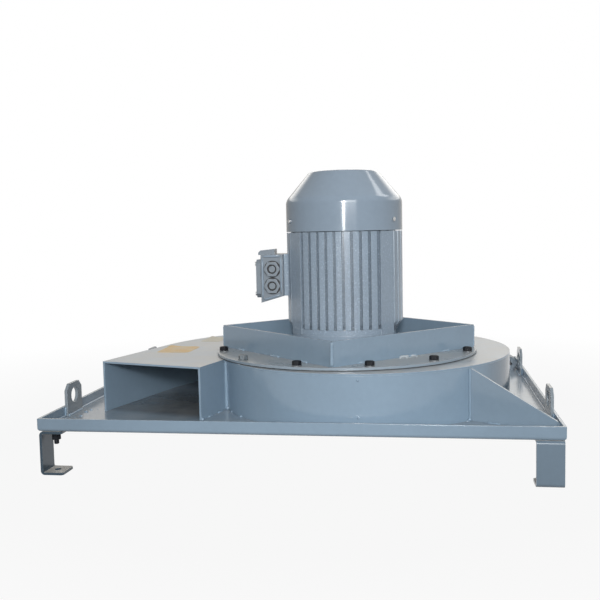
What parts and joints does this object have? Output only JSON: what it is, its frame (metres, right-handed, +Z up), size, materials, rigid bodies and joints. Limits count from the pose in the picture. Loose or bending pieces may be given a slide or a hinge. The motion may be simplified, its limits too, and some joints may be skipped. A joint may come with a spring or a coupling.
{
  "type": "centrifugal fan",
  "caption": "Low centrifugal fan with a vertical finned motor on a scroll housing, standing on a tray with bent legs and lifting lugs.",
  "frame": {"origin": "on the floor, under the middle of the tray", "axes": "+X along the tray's long front edge to the right, +Y towards its back edge, +Z up"},
  "size_m": [1, 0.82, 0.5973],
  "materials": {
    "paint": "gloss",
    "motor_paint": "gloss",
    "black_steel": "satin",
    "zinc_steel": "satin",
    "bright_steel": "ground",
    "iron": "matte",
    "aluminium": "cast",
    "copper": "varnished",
    "rubber": "matte",
    "moulding": "matte"
  },
  "bodies": {
    "housing": {"base_tray": "paint", "bearing_outer_rings": "bright_steel", "bearing_spring": "zinc_steel", "blanking_plugs": "motor_paint", "cable_glands": "motor_paint", "cowl_screws": "zinc_steel", "drive_end_shield": "motor_paint", "fan_cowl": "paint", "flange_bolts": "black_steel", "flange_nuts": "black_steel", "floor_socket": "zinc_steel", "front_gusset": "paint", "inlet_bolts": "zinc_steel", "inlet_cone": "paint", "inlet_nuts": "zinc_steel", "leg_back_left": "paint", "leg_back_right": "paint", "leg_bolts": "black_steel", "leg_front_left": "paint", "leg_front_right": "paint", "lid_screws": "zinc_steel", "lifting_lugs": "paint", "motor_frame": "motor_paint", "motor_plate": "paint", "motor_plate_bolts": "black_steel", "motor_plate_gasket": "rubber", "motor_plate_washers": "zinc_steel", "nuts_m10": "black_steel", "outlet_side_wall": "paint", "scroll_top_plate": "paint", "scroll_wall": "paint", "shaft_seal": "rubber", "shield_screws": "black_steel", "stator_core": "bright_steel", "stator_windings": "copper", "stiffener_back_left": "paint", "stiffener_back_right": "paint", "stiffener_front_left": "paint", "stiffener_front_right": "paint", "terminal_block": "moulding", "terminal_box": "motor_paint", "terminal_box_gasket": "rubber", "terminal_box_lid": "motor_paint", "terminal_studs": "copper", "upper_end_shield": "motor_paint"},
    "rotor": {"motor_shaft": "bright_steel", "rotor_core": "bright_steel", "rotor_end_rings": "aluminium", "cooling_fan": "moulding", "bearing_inner_rings": "bright_steel", "impeller_back_plate": "paint", "impeller_blades": "paint", "impeller_bolt": "zinc_steel", "impeller_hub": "iron", "impeller_hub_rivets": "zinc_steel", "impeller_key": "bright_steel", "impeller_shroud": "paint", "impeller_washer": "zinc_steel"},
    "lower_balls": {"ball_set_lower": "bright_steel"},
    "upper_balls": {"ball_set_upper": "bright_steel"}
  },
  "joints": [
    {"name": "rotor_spin", "type": "hinge", "parent": "housing", "child": "rotor", "pos_m": [0.076, -0.068, 0.3], "axis": [0, 0, 1], "continuous": true},
    {"name": "lower_balls_spin", "type": "hinge", "parent": "housing", "child": "lower_balls", "pos_m": [0.076, -0.068, 0.3], "axis": [0, 0, 1], "continuous": true},
    {"name": "upper_balls_spin", "type": "hinge", "parent": "housing", "child": "upper_balls", "pos_m": [0.076, -0.068, 0.3], "axis": [0, 0, 1], "continuous": true}
  ],
  "couplings": [
    {"joint": "lower_balls_spin", "follows": "rotor_spin", "ratio": 0.38461},
    {"joint": "upper_balls_spin", "follows": "rotor_spin", "ratio": 0.38461}
  ]
}
